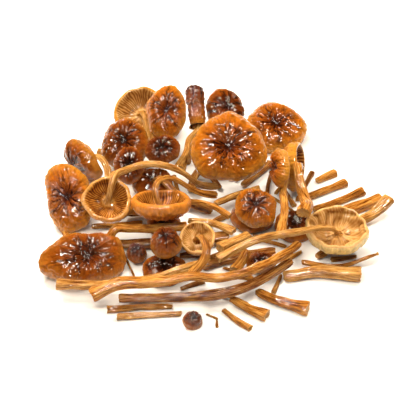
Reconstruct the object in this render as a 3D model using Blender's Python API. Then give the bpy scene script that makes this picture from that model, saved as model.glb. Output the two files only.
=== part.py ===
# Bunch of tea tree mushrooms, soaked and lying loose in a low heap on a flat surface.
# Each mushroom is one closed body: a wrinkled cap with raised gills, grown into a fluted stem.
# Stems that broke off lie among them as bodies of their own.
# All sizes in this file are millimetres, and angles are degrees. The model itself is in metres.

import math
import random

import bmesh
import bpy
import numpy as np
from mathutils import Matrix, Vector

MM = 0.001

# The heap is laid on z = 0. x runs to the right, y away from the viewer.
FLOOR_PRESS = 0.5
CELL = 0.5
SPACE_HALF = 120.0
SPACE_HIGH = 80.0
SAMPLE_STEP = 0.4

# A cap is a ball of this many rings, shaped by a profile that runs from the crown
# over the rim and along the gills to the neck: share of the radius, then height.
CAP_RINGS = 10
PROFILE_RADIUS = (0.0, 0.17, 0.37, 0.60, 0.82, 0.96, 1.0, 0.90, 0.66, 0.36)
RIDGE_HEIGHT = (0.0, 0.012, 0.045, 0.042, 0.020, 0.010, 0.0, 0.0, -0.030, -0.022)

# Height, dimple, lip and hollow as shares of the cap's radius.
CAP_FORMS = {
    "open": {"height": 0.44, "dimple": 0.17, "lip": 0.24, "hollow": 0.06},
    "plump": {"height": 0.58, "dimple": 0.16, "lip": 0.26, "hollow": 0.04},
    "button": {"height": 0.92, "dimple": 0.04, "lip": 0.22, "hollow": 0.0},
    "bowl": {"height": 0.46, "dimple": 0.06, "lip": 0.30, "hollow": 0.16},
    "closed": {"height": 4.6, "dimple": 0.2, "lip": 0.14, "hollow": 0.0},
}

# How uneven a cap grew: its ridges, its rim's reach and its rim's slow waves, as shares.
RIDGE_UNEVEN = (0.6, 1.3)
REACH_UNEVEN = (0.96, 1.04)
WAVE_HEIGHT = 0.05
WAVES = 3
CORNER_SPREAD = 0.42
NECK_DEPTH = 0.06

STEM_SIDES = 8
STEM_FLUTE = 0.13
STEM_UNEVEN = 0.05
STEM_SWELL = 0.06
STEM_STEP = 2.0
RING_SPACING = 6.5
NECK_SHARE = 0.92
CUT_SET_BACK = 0.22
SHARP_EDGE = 50

# A stem keeps its drawn height unless something is in the way. Then it passes over or under.
OFFSETS = np.arange(-10, 12, CELL)
HOLD = 0.03
STIFFNESS = 1.0
BLOCKED = 500.0
SINK = 3.0
NUDGE_STEP = 1.5
NUDGE_LIMIT = 9.0


def cap(at, radius, facing, tilt, form="open", sectors=20, oval=(0, 0), corners=(), fold=(0, 0)):
    """at is the middle of the side that is up. facing is the compass direction (0 is +x, 90 is +y)
    that the crown leans to when tilted from upright. A corner is (direction, pull), and so is a
    notch, with a negative pull. A fold bends two sides of the cap down by that many degrees."""
    return {"at": at, "radius": radius, "facing": facing, "tilt": tilt, "form": form,
            "sectors": sectors, "oval": oval, "corners": corners, "fold": fold}


def stem(route, width, depth=0.8, foot=1.2):
    """route is the stem's line from the cap to its cut foot. depth is its height as a share of
    its width, and foot the width of the cut end as a share of the width."""
    return {"route": route, "width": width, "depth": depth, "foot": foot}


def stub(length, width):
    """A stem that was cut close to the cap."""
    return {"route": None, "length": length, "width": width, "depth": 0.85, "foot": 1.1}


# The mushrooms in the order in which they lie on each other, lowest first.
HEAP = (
    # Lowest layer, mostly hidden
    (cap((-28, 34, 7), 10.5, -90, 4, sectors=14), stem([(-18, 24, 3), (-8, 17, 3), (2, 12, 3)], 4.6)),
    (cap((10, 58, 7), 12, 90, 6, sectors=14), stem([(2, 48, 3), (-6, 40, 3), (-8, 28, 3)], 4.8)),
    (cap((-22, 4, 5), 8.5, -120, 4, sectors=14), stub(2, 3.6)),
    (cap((22, 8, 7), 11, 60, 5, sectors=14), stub(3, 4.6)),
    (cap((41, 0, 7), 10, -60, 8, sectors=14), stub(3, 4.4)),
    (None, stem([(52, -20, 3), (60, -14, 3), (69, -7, 3)], 4.8)),
    (None, stem([(-50, -12, 3), (-30, -12, 3), (-8, -10, 3), (14, -7, 3)], 6.4)),
    (None, stem([(-2, -27, 3), (14, -21, 3), (36, -19, 3)], 6.2)),
    (None, stem([(-52, 67, 3), (-34, 65, 3), (-14, 60, 3)], 5.2)),
    (None, stem([(18, 34, 3), (26, 44, 3), (34, 54, 3)], 5.0)),
    # The left
    (cap((-69, 7, 17), 14, -105, 38, sectors=24, oval=(96, 0.22), corners=((122, 0.2),)), stub(9, 4.8)),
    (cap((-55.5, -30.5, 13), 15.5, -80, 24, sectors=26, oval=(8, 0.16), corners=((188, 0.34),)),
     stem([(-44, -16, 7), (-36, -11, 9), (-24, -9, 10), (-10, -8, 10)], 4.8)),
    # The back
    (cap((36, 74, 13), 16, -90, 14, sectors=22, corners=((108, 0.16), (-35, 0.08))), stub(5, 4.8)),
    (cap((-36, 86, 10), 14, 80, 152, "bowl", sectors=24),
     stem([(-33, 77, 14), (-31, 70, 10), (-29, 64, 7)], 5)),
    (cap((-22, 67, 25), 12.2, -92, 36, "plump", sectors=20, oval=(90, 0.14), corners=((68, 0.14),)),
     stub(2, 4.4)),
    (cap((-43.5, 50, 22), 13.2, -100, 34, "plump", sectors=20, oval=(90, 0.05), corners=((215, 0.06),)),
     stub(7, 4.6)),
    (cap((-65, 43, 10), 12, -140, 100, "bowl", sectors=20, oval=(130, 0.15), fold=(40, 60)),
     stem([(-54, 38, 12), (-50, 32, 10), (-51, 24, 8), (-55, 19, 5)], 4.2)),
    (cap((-39.5, 31.5, 20), 8.8, -85, 38, "plump", sectors=18, oval=(90, 0.1)), stub(3, 3.8)),
    (cap((-25, 42.5, 21), 8.6, -100, 30, "plump", sectors=18, oval=(10, 0.08)), stub(4, 3.8)),
    (cap((-7.5, 90, 26), 4.8, 97, 60, "closed", sectors=14),
     stem([(-9, 62, 12), (-11.5, 48, 11), (-14.5, 35, 11)], 4.2, foot=1.5)),
    (cap((9.3, 81.5, 21.5), 11.6, -60, 30, "plump", sectors=18, oval=(100, 0.12), fold=(10, 55)),
     stub(4, 4.4)),
    # The middle
    (cap((-22, -2, 19), 12.5, -90, 160, "bowl", sectors=24, oval=(0, 0.06)),
     stem([(-26, 2, 24), (-21, 10, 25), (-14, 14, 20), (-8, 15.5, 14), (-2, 18, 9), (4, 21, 6)], 3.8)),
    # The upturned cap whose stem makes the arch
    (cap((-48, 1.5, 12), 10.8, 90, 146, "bowl", sectors=24, corners=((180, 0.1), (40, 0.08))),
     stem([(-46, 3, 18), (-44, 8, 21), (-40, 16, 23), (-33, 19, 26), (-24, 20, 26), (-15, 20.5, 22.5),
           (-9, 21.5, 17), (-4, 24, 10), (4, 28, 6)], 4.6)),
    # The biggest cap
    (cap((10, 30.5, 34), 18.2, -88, 28, sectors=28, oval=(0, 0.03),
         corners=((88, 0.22), (-93, -0.14), (200, 0.05), (-20, 0.05))), stub(9, 5.6)),
    (cap((23, -3, 22), 10.2, -90, 30, "plump", sectors=22, corners=((60, -0.18), (-48, 0.14))), stub(6, 4.4)),
    (cap((-36, 12, 11), 6, 100, 45, "plump", sectors=16, oval=(20, 0.2), fold=(110, 50)), stub(3, 3.6)),
    (cap((-5, -18, 12), 8.4, 90, 160, "bowl", sectors=20),
     stem([(-3, -26, 19), (-0.5, -32, 19.5), (-1.4, -37, 17), (-4, -40.5, 14), (-8, -43, 11.5)], 4.4)),
    (cap((-20, -31, 6), 10, -90, 8, sectors=18, oval=(0, 0.1)), stub(2, 4)),
    (cap((-19.5, -26, 19), 7.6, -90, 12, "button", sectors=16), stub(3, 4)),
    (cap((-33, -22, 6), 5, -60, 15, "button", sectors=14), stub(2, 3)),
    (cap((25, -29, 10.5), 6.2, -90, 22, "plump", sectors=16, oval=(0, 0.15)), stub(4, 3.4)),
    # The right
    (cap((61, -14, 12), 14, 75, 172, "bowl", sectors=26, oval=(0, 0.06)),
     stem([(52, -18, 18), (43, -22.7, 20), (33, -25.2, 20.2), (24, -28, 20), (14.6, -32, 18.5),
           (4.5, -37.5, 16)], 4.2)),
    (cap((43, 36, 15), 12.5, 170, 100, "bowl", sectors=22, oval=(90, 0.1)),
     stem([(44, 22, 14), (46, 10, 14), (47.5, -1, 14), (44.5, -11, 13)], 6.0)),
    (cap((30.5, 23, 24), 9.2, 190, 74, "open", sectors=18, oval=(90, 0.1)),
     stem([(36.5, 13, 18), (37, 2, 15), (36, -7, 13), (34, -17, 12)], 4.8)),
    # Loose pieces along the floor at the right and the front
    (cap((-6, -64, 5), 4.6, -60, 20, "button", sectors=12), stub(2, 3)),
    (None, stem([(-1, -57, 2), (4, -60, 2), (4.5, -65, 2), (1, -68.5, 2)], 2.2, foot=1.0)),
    (None, stem([(7, -55, 2), (12, -61, 2), (19, -67, 2)], 3.8)),
    (None, stem([(11, -50.5, 3), (19, -55.5, 2), (30, -61.5, 2)], 4.8, foot=1.4)),
    (None, stem([(23, -45, 3), (30.5, -50, 3), (39, -53.4, 3), (49, -57, 3)], 5.0, foot=1.5)),
    (None, stem([(36, -34, 2.6), (43, -33, 2.8), (52, -31.4, 3.5), (61, -32.8, 3.5), (71, -33.5, 3.5)], 6.4,
                foot=1.4)),
    (None, stem([(46, -24.5, 6), (55, -25, 6), (66, -25, 6.5), (74, -23.5, 7), (81.5, -21, 8)], 3.6,
                foot=0.5)),
    (None, stem([(56, 38, 3), (62, 42, 3), (69, 46.5, 3)], 4.6)),
    (None, stem([(50, 24, 3), (60, 30, 3), (74, 38, 3)], 4.6)),
    (None, stem([(53, 15, 3), (64, 20.5, 3), (82, 31, 3.5)], 4.6)),
    (None, stem([(54, 7.5, 3), (68, 12.5, 3), (87, 22, 3.5)], 6.0)),
    (None, stem([(54, -2, 4), (64, 0, 4.5), (76, 5, 6), (84, 10, 8), (92, 18, 12)], 5.6, foot=1.4)),
    (None, stem([(-12, -57.5, 2), (-26, -58.5, 2), (-35, -59, 2), (-43, -60, 2)], 3.6, foot=1.3)),
    (None, stem([(-16, -53, 2), (-26, -53.2, 2), (-35, -54, 2), (-46, -55, 2)], 3.6, foot=1.3)),
    (None, stem([(2, -46, 3), (-20, -47, 3), (-38, -48, 3)], 4.2)),
    (None, stem([(-69, -6, 2.5), (-66, -11, 2.5), (-61, -19, 2.5)], 4.4)),
    # Loose stems in the gaps
    (None, stem([(4, 12, 9), (14, 18, 9), (26, 22, 9)], 4.8)),
    (None, stem([(-14, -14, 9), (-22, -16, 8), (-30, -17, 8)], 4.6)),
    (None, stem([(-9, -1, 10), (3, -3, 10), (14, -10, 10)], 4.0)),
    (None, stem([(-9, 14, 14), (3, 6, 13), (12, -1, 13)], 3.4)),
    (None, stem([(-50, 10, 20), (-49, 18, 19), (-46, 27, 18)], 3.8)),
    # The long stems across the front
    (None, stem([(18, -26, 10), (15, -33, 9), (9, -40, 8)], 4.4)),
    (None, stem([(38, -31, 7.8), (33, -35.5, 8), (23.5, -43, 8), (14, -49, 7.5), (5, -51, 7), (-8, -52, 6.5),
                 (-22, -52.3, 6.2), (-40, -52.6, 6)], 5.6, foot=0.9)),
    (None, stem([(19, -13.5, 12), (10, -20, 12), (2.5, -26.5, 11)], 5.2)),
    (None, stem([(-5, -34, 9.5), (-13, -37.7, 9.5), (-22, -40.5, 8.5), (-31, -42.2, 8), (-49, -45, 7.5),
                 (-69, -44, 7)], 5.2, foot=1.15)),
    (None, stem([(42, -25, 14), (37.5, -30, 14), (28, -38.6, 13.5), (14.5, -45.3, 12.8), (5, -47.3, 12),
                 (-8, -48.3, 11.2), (-26, -48.3, 10), (-40, -49.5, 8.5), (-56, -54, 6.5)], 5.4, foot=1.4)),
)


def unit_normal(a_cap):
    """The direction that the crown faces."""
    turn, lean = math.radians(a_cap["facing"]), math.radians(a_cap["tilt"])
    return Vector((math.sin(lean) * math.cos(turn), math.sin(lean) * math.sin(turn), math.cos(lean)))


def cap_frame(a_cap):
    """Turns the cap from lying level to its tilt, with its own directions kept as plan directions."""
    turn = math.radians(a_cap["facing"])
    axis = Vector((-math.sin(turn), math.cos(turn), 0))
    return Matrix.Rotation(math.radians(a_cap["tilt"]), 4, axis)


def cap_profile(form):
    """Height of each ring as a share of the radius, from the crown to the neck."""
    high, dimple, lip, hollow = form["height"], form["dimple"], form["lip"], form["hollow"]
    return (high - dimple, high - 0.8 * dimple, high - 0.25 * dimple, 0.94 * high, 0.70 * high,
            0.34 * high, 0.0, -lip, hollow - 0.45 * lip, hollow)


def outline(a_cap, angle):
    """How far the rim stands out in a direction, as a share of the radius."""
    direction, stretch = a_cap["oval"]
    reach = 1 + stretch * math.cos(2 * (angle - math.radians(direction)))
    for direction, pull in a_cap["corners"]:
        off = math.remainder(angle - math.radians(direction), math.tau)
        reach += pull * math.exp(-(off / CORNER_SPREAD) ** 2)
    return reach


def bend_down(point, a_cap):
    """Folds the cap about a level line, so that two opposite sides of the rim come down."""
    direction, amount = a_cap["fold"]
    if not amount:
        return point
    turn = Matrix.Rotation(math.radians(direction), 3, "Z")
    local = turn.transposed() @ point
    curve = math.radians(amount) / a_cap["radius"]
    arc = local.x * curve
    local.x = math.sin(arc) * (1 / curve + local.z)
    local.z = math.cos(arc) * (1 / curve + local.z) - 1 / curve
    return turn @ local


def add_cap(bm, a_cap, chance):
    """Adds the cap at the origin, level, and returns the open loop of edges at its neck."""
    sectors, radius = a_cap["sectors"], a_cap["radius"]
    heights = cap_profile(CAP_FORMS[a_cap["form"]])
    ridge = [(1 if i % 2 else -1) * chance.uniform(*RIDGE_UNEVEN) for i in range(sectors)]
    reach = [chance.uniform(*REACH_UNEVEN) for _ in range(sectors)]
    wave = [chance.uniform(-WAVE_HEIGHT, WAVE_HEIGHT) for _ in range(WAVES)]
    ball = bmesh.ops.create_uvsphere(bm, u_segments=sectors, v_segments=CAP_RINGS, radius=1)["verts"]
    foot_pole = min(ball, key=lambda v: v.co.z)
    ball.remove(foot_pole)
    bmesh.ops.delete(bm, geom=[foot_pole], context="VERTS")
    for vert in ball:
        angle = math.atan2(vert.co.y, vert.co.x)
        ring = round(math.acos(max(-1, min(1, vert.co.z))) / math.pi * CAP_RINGS)
        i = round(angle / math.tau * sectors) % sectors
        share = PROFILE_RADIUS[ring]
        spread = 1 + (outline(a_cap, angle) * reach[i] - 1) * share
        sway = sum(w * math.cos((n + 2) * angle + 5 * n) for n, w in enumerate(wave)) * share ** 2
        high = heights[ring] + sway + RIDGE_HEIGHT[ring] * ridge[i]
        level = Vector((math.cos(angle) * share * spread, math.sin(angle) * share * spread, high))
        vert.co = bend_down(level * radius, a_cap)
    return [e for e in bm.edges if e.is_boundary]


def neck_height(a_cap):
    """Height of the stem's first ring on the cap's own axis."""
    return (CAP_FORMS[a_cap["form"]]["hollow"] - NECK_DEPTH) * a_cap["radius"]


def smooth_line(points, step):
    """Points at an even step along a curve through these points."""
    points = np.array(points, float)
    padded = np.vstack([2 * points[0] - points[1], points, 2 * points[-1] - points[-2]])
    fine = []
    for a, b, c, d in zip(padded[:-3], padded[1:-2], padded[2:-1], padded[3:]):
        for t in np.linspace(0, 1, 24, endpoint=False):
            fine.append(0.5 * (2 * b + (c - a) * t + (2 * a - 5 * b + 4 * c - d) * t ** 2
                               + (3 * b - a - 3 * c + d) * t ** 3))
    fine = np.array([*fine, points[-1]])
    along = np.concatenate([[0], np.cumsum(np.linalg.norm(np.diff(fine, axis=0), axis=1))])
    count = max(2, round(along[-1] / step))
    wanted = np.linspace(0, along[-1], count + 1)
    return np.stack([np.interp(wanted, along, fine[:, n]) for n in range(fine.shape[1])], axis=1)


def stem_matrices(line, a_stem, chance):
    """One matrix for each ring of the stem, which sets a unit section across the line."""
    tangents = [Vector(t).normalized() for t in np.gradient(line, axis=0)]
    side = tangents[-1].cross(Vector((0, 0, 1))).normalized()
    sides = [side]
    for tangent in reversed(tangents[:-1]):
        side = (side - tangent * side.dot(tangent)).normalized()
        sides.insert(0, side)
    matrices = []
    last = len(line) - 1
    for n, (point, tangent, side) in enumerate(zip(line, tangents, sides)):
        share = n / last
        swell = 1 + (a_stem["foot"] - 1) * share ** 3 + chance.uniform(-STEM_SWELL, STEM_SWELL)
        half = a_stem["width"] / 2 * swell * (NECK_SHARE + (1 - NECK_SHARE) * min(1, 3 * share))
        high = half * a_stem["depth"]
        top = side.cross(tangent)
        place = Matrix((side * half, top * high, tangent)).transposed().to_4x4()
        place.translation = Vector(point)
        matrices.append(place)
    return matrices


def close_end(bm, ring_edges, inward):
    """Closes a stem's end with a face whose middle is set back or stands out."""
    face = bmesh.ops.contextual_create(bm, geom=ring_edges)["faces"][0]
    middle = bmesh.ops.poke(bm, faces=[face])["verts"][0]
    middle.co += inward


def add_stem(bm, line, a_stem, chance, closed_top):
    """Adds the stem along a line, and returns its first loop of edges if that stays open."""
    matrices = stem_matrices(line, a_stem, chance)
    ring = bmesh.ops.create_circle(bm, segments=STEM_SIDES, radius=1)["verts"]
    for i, vert in enumerate(ring):
        vert.co *= 1 + STEM_FLUTE * (0.5 if i % 2 else -0.5) + chance.uniform(-STEM_UNEVEN, STEM_UNEVEN)
    bmesh.ops.transform(bm, matrix=matrices[0], verts=ring)
    first = list({e for v in ring for e in v.link_edges})
    edges = first
    for before, after in zip(matrices[:-1], matrices[1:]):
        made = bmesh.ops.extrude_edge_only(bm, edges=edges)["geom"]
        verts = [g for g in made if isinstance(g, bmesh.types.BMVert)]
        new = set(verts)
        edges = [g for g in made if isinstance(g, bmesh.types.BMEdge) and set(g.verts) <= new]
        bmesh.ops.transform(bm, matrix=after @ before.inverted(), verts=verts)
    set_back = a_stem["width"] * CUT_SET_BACK
    close_end(bm, edges, -set_back * Vector(line[-1] - line[-2]).normalized())
    if closed_top:
        close_end(bm, first, 0.5 * set_back * Vector(line[0] - line[1]).normalized())
    return first


def surface_points(bm):
    """Points all over the body, close enough together to mark every small cube that it passes through."""
    corners = np.array([[list(loop.vert.co) for loop in tri] for tri in bm.calc_loop_triangles()])
    longest = np.linalg.norm(corners - np.roll(corners, 1, axis=1), axis=2).max(axis=1)
    counts = np.maximum(1, np.ceil(longest / SAMPLE_STEP)).astype(int)
    found = []
    for count in np.unique(counts):
        grid = [(i / count, j / count) for i in range(count + 1) for j in range(count + 1 - i)]
        a, b = np.array(grid).T[:, :, None]
        some = corners[counts == count][:, :, None, :]
        found.append((some[:, 0] * a + some[:, 1] * b + some[:, 2] * (1 - a - b)).reshape(-1, 3))
    return np.concatenate(found)


class Space:
    """The room that the bodies laid so far take up, as a grid of small cubes."""

    def __init__(self, taken=None):
        flat, high = round(2 * SPACE_HALF / CELL), round(SPACE_HIGH / CELL)
        self.taken = np.zeros((flat, flat, high), bool) if taken is None else taken.copy()

    def cells(self, points):
        shifted = np.asarray(points) + (SPACE_HALF, SPACE_HALF, 0)
        return np.clip(np.floor(shifted / CELL).astype(int), 0, np.array(self.taken.shape) - 1)

    def add(self, points):
        """Takes in a body, one cube wider than it is on every side."""
        for dx in (-1, 0, 1):
            for dy in (-1, 0, 1):
                for dz in (-1, 0, 1):
                    x, y, z = self.cells(points + np.array((dx, dy, dz)) * CELL).T
                    self.taken[x, y, z] = True

    def hit(self, points, rise):
        moved = points + np.array((0, 0, rise))
        x, y, z = self.cells(moved).T
        return moved[:, 2].min() < -FLOOR_PRESS or self.taken[x, y, z].any()

    def settle(self, points, sink, limit=SPACE_HIGH / 2):
        """How far a body has to move up to be free, or may move down until it lies on something."""
        rise = 0.0
        while rise < limit and self.hit(points, rise):
            rise += CELL / 2
        if rise == 0:
            while rise > -sink and not self.hit(points, rise - CELL / 2):
                rise -= CELL / 2
        return rise

    def nudge(self, points, sink):
        """The smallest move that gives a body room, sideways or up."""
        some = points[::6]
        best, least = np.zeros(3), math.inf
        for reach in np.arange(0, NUDGE_LIMIT, NUDGE_STEP):
            for turn in np.linspace(0, math.tau, 12 if reach else 1, endpoint=False):
                shift = np.array((reach * math.cos(turn), reach * math.sin(turn), 0))
                if reach >= least:
                    continue
                rise = self.settle(some + shift, 0, limit=least - reach)
                if reach + rise < least:
                    best, least = shift, reach + rise
        best[2] = self.settle(points + best, sink)
        return best

    def free_offsets(self, point, half, high):
        """For each offset, whether a round stem's section at this point is free there."""
        count = math.ceil(half / CELL)
        reach = np.arange(-count, count + 1) * CELL
        dx, dy = (g.ravel() for g in np.meshgrid(reach, reach))
        inside = np.hypot(dx, dy) <= half
        dx, dy = dx[inside], dy[inside]
        bulge = high * np.sqrt(np.maximum(0, 1 - (dx ** 2 + dy ** 2) / half ** 2))
        x, y, _ = self.cells(np.stack([point[0] + dx, point[1] + dy, 0 * dx], axis=1)).T
        column = self.taken[x, y]
        free = point[2] + OFFSETS - high >= -FLOOR_PRESS
        for level in np.unique(np.round(bulge / CELL)):
            some = column[np.round(bulge / CELL) == level].any(axis=0)
            filled = np.concatenate([[0], np.cumsum(some)])
            low = np.floor((point[2] + OFFSETS) / CELL - level).astype(int)
            top = np.clip(low + 2 * int(level) + 1, 0, len(some))
            free &= filled[top] == filled[np.clip(low, 0, len(some))]
        return free


def pass_obstacles(line, half, high, space, pinned):
    """The stem's line with its heights changed as little as its way through the heap allows."""
    costs = [np.where(space.free_offsets(p, half, high), 0, BLOCKED) + HOLD * STEM_STEP * OFFSETS ** 2
             for p in line]
    if pinned:
        costs[0] = 1e6 * np.abs(OFFSETS)
    bend = STIFFNESS * (OFFSETS[:, None] - OFFSETS[None, :]) ** 2 / STEM_STEP
    total, choices = costs[0], []
    for cost in costs[1:]:
        ways = total[:, None] + bend
        choices.append(ways.argmin(axis=0))
        total = ways.min(axis=0) + cost
    pick = int(total.argmin())
    picks = [pick]
    for choice in reversed(choices):
        pick = int(choice[pick])
        picks.append(pick)
    shift = OFFSETS[picks[::-1]]
    for _ in range(3):
        shift[1:-1] = (shift[:-2] + 2 * shift[1:-1] + shift[2:]) / 4
    return line + np.outer(shift, (0, 0, 1))


def add_stem_to(bm, line, a_stem, name):
    """Grows the stem out of the open neck of a cap."""
    neck_loop = [e for e in bm.edges if e.is_boundary]
    first = add_stem(bm, line, a_stem, random.Random(name), closed_top=False)
    bmesh.ops.bridge_loops(bm, edges=neck_loop + first)


def lay_loose_stem(a_stem, space, name):
    """Builds a stem that lies by itself."""
    wish = smooth_line(a_stem["route"], STEM_STEP)
    for extra in (0.3, 0.8, 1.3):
        half = a_stem["width"] / 2 + extra
        line = pass_obstacles(wish, half, half * a_stem["depth"], space, pinned=False)
        bm = bmesh.new()
        add_stem(bm, smooth_line(line[::3], RING_SPACING), a_stem, random.Random(name), closed_top=True)
        shift = space.nudge(surface_points(bm), SINK)
        if shift[2] <= 0:
            break
    bmesh.ops.translate(bm, vec=shift, verts=bm.verts)
    return bm


def lay_mushroom(a_cap, a_stem, space, name):
    """Builds a mushroom on the heap so far."""
    cap_mesh = bmesh.new()
    add_cap(cap_mesh, a_cap, random.Random(name))
    normal = unit_normal(a_cap)
    crown = CAP_FORMS[a_cap["form"]]["height"] * a_cap["radius"] if a_cap["tilt"] < 90 else 0
    middle = Vector(a_cap["at"]) - normal * crown
    bmesh.ops.transform(cap_mesh, matrix=Matrix.Translation(middle) @ cap_frame(a_cap), verts=cap_mesh.verts)
    neck = middle + normal * neck_height(a_cap)
    if not a_stem["route"]:
        ends = (neck, neck - normal * a_stem["length"])
        add_stem_to(cap_mesh, smooth_line(ends, RING_SPACING / 2), a_stem, name)
        shift = space.nudge(surface_points(cap_mesh), SINK)
        bmesh.ops.translate(cap_mesh, vec=shift, verts=cap_mesh.verts)
        return cap_mesh
    own = surface_points(cap_mesh)
    shift = space.nudge(own, SINK)
    own += shift
    neck += Vector(shift)
    bmesh.ops.translate(cap_mesh, vec=shift, verts=cap_mesh.verts)
    leave = neck - normal * (0.5 * a_stem["width"] + 1.0)
    around = Space(space.taken)
    off_neck = np.linalg.norm(own - np.array(neck), axis=1) > a_stem["width"] * 1.0
    around.add(own[off_neck])
    wish = smooth_line([leave, *a_stem["route"]], STEM_STEP)
    for extra in (0.2, 0.6, 1.0, 1.4):
        half = a_stem["width"] / 2 + extra
        line = pass_obstacles(wish, half, half * a_stem["depth"], around, pinned=True)
        line = np.vstack([neck, line[0], line[2::3], line[-1]])
        bm = cap_mesh.copy()
        add_stem_to(bm, smooth_line(line, RING_SPACING), a_stem, name)
        rest = space.settle(surface_points(bm), 0)
        if rest == 0:
            break
    last = space.nudge(surface_points(bm), 0)
    bmesh.ops.translate(bm, vec=last, verts=bm.verts)
    return bm


def skin_material(name, colour, roughness):
    material = bpy.data.materials.new(name)
    material.use_nodes = True
    shader = material.node_tree.nodes["Principled BSDF"]
    shader.inputs["Base Color"].default_value = (*colour, 1)
    shader.inputs["Roughness"].default_value = roughness
    shader.inputs["Metallic"].default_value = 0
    return material


def make_node(name, bm, material, collection, heap):
    """Makes the body an object with its origin at the middle of its box."""
    corners = np.array([list(v.co) for v in bm.verts])
    middle = Vector((corners.min(axis=0) + corners.max(axis=0)) / 2)
    bmesh.ops.translate(bm, vec=-middle, verts=bm.verts)
    bmesh.ops.scale(bm, vec=(MM, MM, MM), verts=bm.verts)
    mesh = bpy.data.meshes.new(name)
    bm.to_mesh(mesh)
    bm.free()
    mesh.materials.append(material)
    mesh.shade_smooth()
    mesh.set_sharp_from_angle(angle=math.radians(SHARP_EDGE))
    node = bpy.data.objects.new(name, mesh)
    collection.objects.link(node)
    node.parent = heap
    node.location = middle * MM
    return node


def main():
    for old in list(bpy.data.objects):
        bpy.data.objects.remove(old)
    collection = bpy.data.collections.new("tea_tree_mushrooms")
    bpy.context.scene.collection.children.link(collection)
    heap = bpy.data.objects.new("heap", None)
    collection.objects.link(heap)
    cap_skin = skin_material("cap_skin", (0.22, 0.07, 0.015), 0.3)
    stem_flesh = skin_material("stem_flesh", (0.42, 0.22, 0.08), 0.45)
    space = Space()
    low, high = np.full(3, 1e9), np.full(3, -1e9)
    counts = {"mushroom": 0, "stem": 0}
    for a_cap, a_stem in HEAP:
        kind = "mushroom" if a_cap else "stem"
        counts[kind] += 1
        name = f"{kind}_{counts[kind]:02d}"
        if a_cap:
            bm = lay_mushroom(a_cap, a_stem, space, name)
        else:
            bm = lay_loose_stem(a_stem, space, name)
        bmesh.ops.recalc_face_normals(bm, faces=bm.faces)
        for vert in bm.verts:
            vert.co.z = max(vert.co.z, 0)
        body = surface_points(bm)
        space.add(body)
        low, high = np.minimum(low, body.min(axis=0)), np.maximum(high, body.max(axis=0))
        make_node(name, bm, cap_skin if a_cap else stem_flesh, collection, heap)
    heap.location = Vector((-(low[0] + high[0]) / 2, -(low[1] + high[1]) / 2, -low[2])) * MM


main()
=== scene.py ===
import itertools
import math

import bpy
import numpy as np
from mathutils import Matrix, Vector
from mathutils.bvhtree import BVHTree


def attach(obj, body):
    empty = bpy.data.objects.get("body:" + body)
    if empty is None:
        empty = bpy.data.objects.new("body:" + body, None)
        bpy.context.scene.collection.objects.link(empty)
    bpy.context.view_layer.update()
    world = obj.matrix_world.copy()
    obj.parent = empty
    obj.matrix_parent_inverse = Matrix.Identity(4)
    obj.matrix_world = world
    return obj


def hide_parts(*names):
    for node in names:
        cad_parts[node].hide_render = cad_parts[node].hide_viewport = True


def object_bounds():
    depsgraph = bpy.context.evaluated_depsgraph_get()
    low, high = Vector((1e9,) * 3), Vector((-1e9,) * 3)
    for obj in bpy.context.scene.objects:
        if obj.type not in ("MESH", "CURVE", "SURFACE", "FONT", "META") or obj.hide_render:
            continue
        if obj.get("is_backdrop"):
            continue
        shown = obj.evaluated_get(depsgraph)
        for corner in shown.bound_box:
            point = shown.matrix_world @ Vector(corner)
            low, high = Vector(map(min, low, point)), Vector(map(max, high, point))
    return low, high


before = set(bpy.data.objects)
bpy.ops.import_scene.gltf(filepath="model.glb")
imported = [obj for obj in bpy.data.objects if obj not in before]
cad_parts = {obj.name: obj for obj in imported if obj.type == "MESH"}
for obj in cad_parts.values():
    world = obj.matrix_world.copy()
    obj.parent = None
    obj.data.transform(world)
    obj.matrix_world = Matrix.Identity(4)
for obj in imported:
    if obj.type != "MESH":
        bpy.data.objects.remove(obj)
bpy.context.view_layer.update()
bpy.ops.object.select_all(action="DESELECT")
scene = bpy.context.scene
mm = 0.001
print("frame loaded,", len(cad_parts), "nodes")

# Camera: from the front of the heap, 40 degrees above it
camera = {
    "aim": (-5.96, -15.28, 15),  # mm
    "distance": 560,  # mm
    "above": 40,  # degrees
    "mmPerPixel": 0.48,
    "picture": 416,  # pixels
    "sensor": 36,  # mm
    "nearest": 10,  # mm
}
above = math.radians(camera["above"])
back = Vector((0, -math.cos(above), math.sin(above)))
lensData = bpy.data.cameras.new("photoCamera")
lensData.sensor_width = camera["sensor"]
lensData.lens = camera["sensor"] * camera["distance"] / camera["mmPerPixel"] / camera["picture"]
lensData.clip_start = camera["nearest"] * mm
photoCamera = bpy.data.objects.new("photoCamera", lensData)
photoCamera.location = (Vector(camera["aim"]) + back * camera["distance"]) * mm
photoCamera.rotation_euler = (-back).to_track_quat("-Z", "Y").to_euler()
scene.collection.objects.link(photoCamera)
scene.camera = photoCamera

# Noise. The factors are large odd numbers that mix the bits of a cell's place.
cellFactors = (374761393, 668265263, 1274126177)
seedFactor = 7919
mixRounds = ((13, 1274126177), (15, 2246822519))


def cellNumbers(cells, seed):
    # The same number from 0 to 1 each time for a whole-numbered cell
    mixed = (cells * np.array(cellFactors)).sum(axis=1) + seed * seedFactor
    for shift, factor in mixRounds:
        mixed = ((mixed ^ (mixed >> shift)) * factor) & 0xFFFFFFFF
    return ((mixed ^ (mixed >> 16)) & 0xFFFF) / 65535


def softNoise(points, cell, seed):
    # Smooth lumps one cell across, from -1 to 1
    scaled = points / cell
    base = np.floor(scaled).astype(np.int64)
    inside = scaled - base
    inside = inside * inside * (3 - 2 * inside)
    total = np.zeros(len(points))
    for corner in itertools.product((0, 1), repeat=3):
        weight = np.prod(np.where(corner, inside, 1 - inside), axis=1)
        total += weight * cellNumbers(base + np.array(corner), seed)
    return total * 2 - 1


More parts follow.
